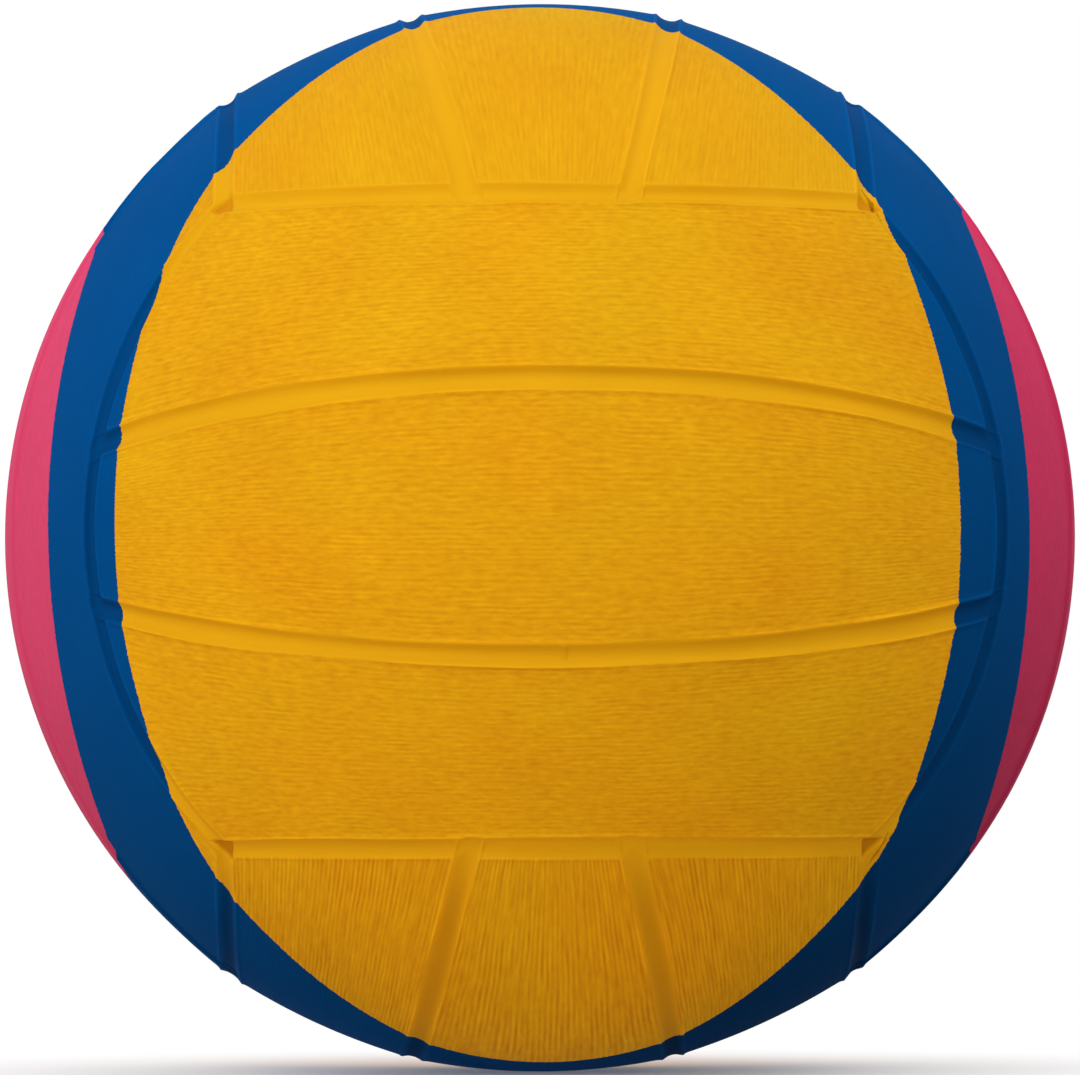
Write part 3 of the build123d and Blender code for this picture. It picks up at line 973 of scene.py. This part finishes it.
def floor_finish():
    """Pale matt floor, plain white for the camera away from the ball, with the shadow kept near it.

    Light that bounces to the ball meets a darker floor near the ball's right side and a glow under it.
    """
    finish = Finish("pale_floor", Roughness=0.9, Specular_IOR_Level=0.1)
    nodes, links = finish.tree.nodes, finish.tree.links
    place_of = finish.node("ShaderNodeTexCoord").out("Object")
    reach = finish.node("ShaderNodeVectorMath", {"operation": "LENGTH"}, {0: place_of}).out(1)
    path = finish.node("ShaderNodeLightPath")
    seen = path.out("Is Camera Ray") + path.out("Is Glossy Ray") + path.out("Is Transmission Ray")
    sideways = finish.node("ShaderNodeSeparateXYZ", None, {0: place_of}).out(0)
    near_right = sideways.eased(*RIGHT_BAND) * (1 - reach.eased(*NEAR_BAND))
    bounce = finish.mix(near_right, BOUNCE_COLOUR, RIGHT_BOUNCE_COLOUR)
    pale = finish.mix(path.out("Is Camera Ray"), bounce, SEEN_COLOUR)
    finish.feed(finish.shader.inputs["Base Color"], pale)
    white = finish.node("ShaderNodeEmission", None, {"Color": (1, 1, 1, 1), "Strength": 1.0})
    under_ball = (1 - reach.eased(*UNDER_BALL_BAND)) * path.out("Is Diffuse Ray") * UNDER_BALL_GLOW
    share = reach.eased(*WHITE_BAND) * seen + under_ball
    mixed = finish.node("ShaderNodeMixShader", None, {0: share})
    links.new(finish.shader.outputs["BSDF"], mixed.node.inputs[1])
    links.new(white.node.outputs[0], mixed.node.inputs[2])
    output = next(node for node in nodes if node.type == "OUTPUT_MATERIAL")
    links.new(mixed.node.outputs[0], output.inputs["Surface"])
    return finish.material


floor_mesh.materials.append(floor_finish())


def soft_light(name, position, size, power):
    """A square soft light that faces the ball's centre. Position and size are in ball radii."""
    lamp = bpy.data.lights.new(name, "AREA")
    lamp.shape = "SQUARE"
    lamp.size = size * BALL_RADIUS * MM
    lamp.energy = power
    made = bpy.data.objects.new(name, lamp)
    place_of = Vector(position) * BALL_RADIUS * MM
    facing = place_of.to_track_quat("Z", "Y").to_matrix().to_4x4()
    made.matrix_world = Matrix.Translation(place_of) @ facing
    scene.collection.objects.link(made)


soft_light("key", (-5.5, -7.5, 7.5), 4.0, 2.3)
soft_light("left_fill", (-11.0, -3.0, 3.0), 6.0, 1.0)
soft_light("low_front_fill", (-2.5, -9.5, -0.4), 5.0, 0.8)
soft_light("top_right_fill", (6.0, -3.5, 9.0), 5.0, 1.8)


SKY_COLOUR = (1, 0.92, 0.91, 1)
SKY_STRENGTH = 0.79


def studio_world():
    """White where the camera looks past the ball, and an even soft light elsewhere."""
    world = bpy.data.worlds.new("studio")
    world.use_nodes = True
    tree = world.node_tree
    tree.nodes.clear()
    path = tree.nodes.new("ShaderNodeLightPath")
    even = tree.nodes.new("ShaderNodeBackground")
    even.inputs["Color"].default_value = SKY_COLOUR
    even.inputs["Strength"].default_value = SKY_STRENGTH
    white = tree.nodes.new("ShaderNodeBackground")
    white.inputs["Color"].default_value = (1, 1, 1, 1)
    mixed = tree.nodes.new("ShaderNodeMixShader")
    output = tree.nodes.new("ShaderNodeOutputWorld")
    tree.links.new(path.outputs["Is Camera Ray"], mixed.inputs[0])
    tree.links.new(even.outputs[0], mixed.inputs[1])
    tree.links.new(white.outputs[0], mixed.inputs[2])
    tree.links.new(mixed.outputs[0], output.inputs["Surface"])
    return world


scene.world = studio_world()
scene.view_settings.view_transform = "Standard"

# The camera's stand: turned about Z, then about the picture's X, then in the picture's plane.
# Its distance is in ball radii
VIEW_TURN = np.radians(1.20)
VIEW_RISE = np.radians(-2.20)
VIEW_ROLL = np.radians(-0.21)
VIEW_DISTANCE = 14.09
IMAGE_WIDTH, IMAGE_HEIGHT = 1080, 1075
BALL_CENTRE_PIXEL = (539.96, 537.68)
BALL_RADIUS_PIXELS = 534.96


def photo_camera():
    """A camera at the viewing angle, whose lens gives the ball's outline its size in the picture."""
    tipped = Matrix.Rotation(VIEW_ROLL, 3, "Y") @ Matrix.Rotation(VIEW_RISE, 3, "X")
    right, forward, up = tipped @ Matrix.Rotation(VIEW_TURN, 3, "Z")
    lens = bpy.data.cameras.new("camera")
    focal_pixels = BALL_RADIUS_PIXELS * np.sqrt(VIEW_DISTANCE**2 - 1)
    lens.sensor_fit = "HORIZONTAL"
    lens.sensor_width = 36.0
    lens.lens = focal_pixels / IMAGE_WIDTH * lens.sensor_width
    lens.shift_x = (IMAGE_WIDTH / 2 - BALL_CENTRE_PIXEL[0]) / IMAGE_WIDTH
    lens.shift_y = (BALL_CENTRE_PIXEL[1] - IMAGE_HEIGHT / 2) / IMAGE_WIDTH
    lens.clip_start = 0.01
    lens.clip_end = 100.0
    camera = bpy.data.objects.new("camera", lens)
    stand = Matrix((right, up, -forward)).transposed().to_4x4()
    camera.matrix_world = Matrix.Translation(-forward * VIEW_DISTANCE * BALL_RADIUS * MM) @ stand
    scene.collection.objects.link(camera)
    scene.camera = camera


photo_camera()
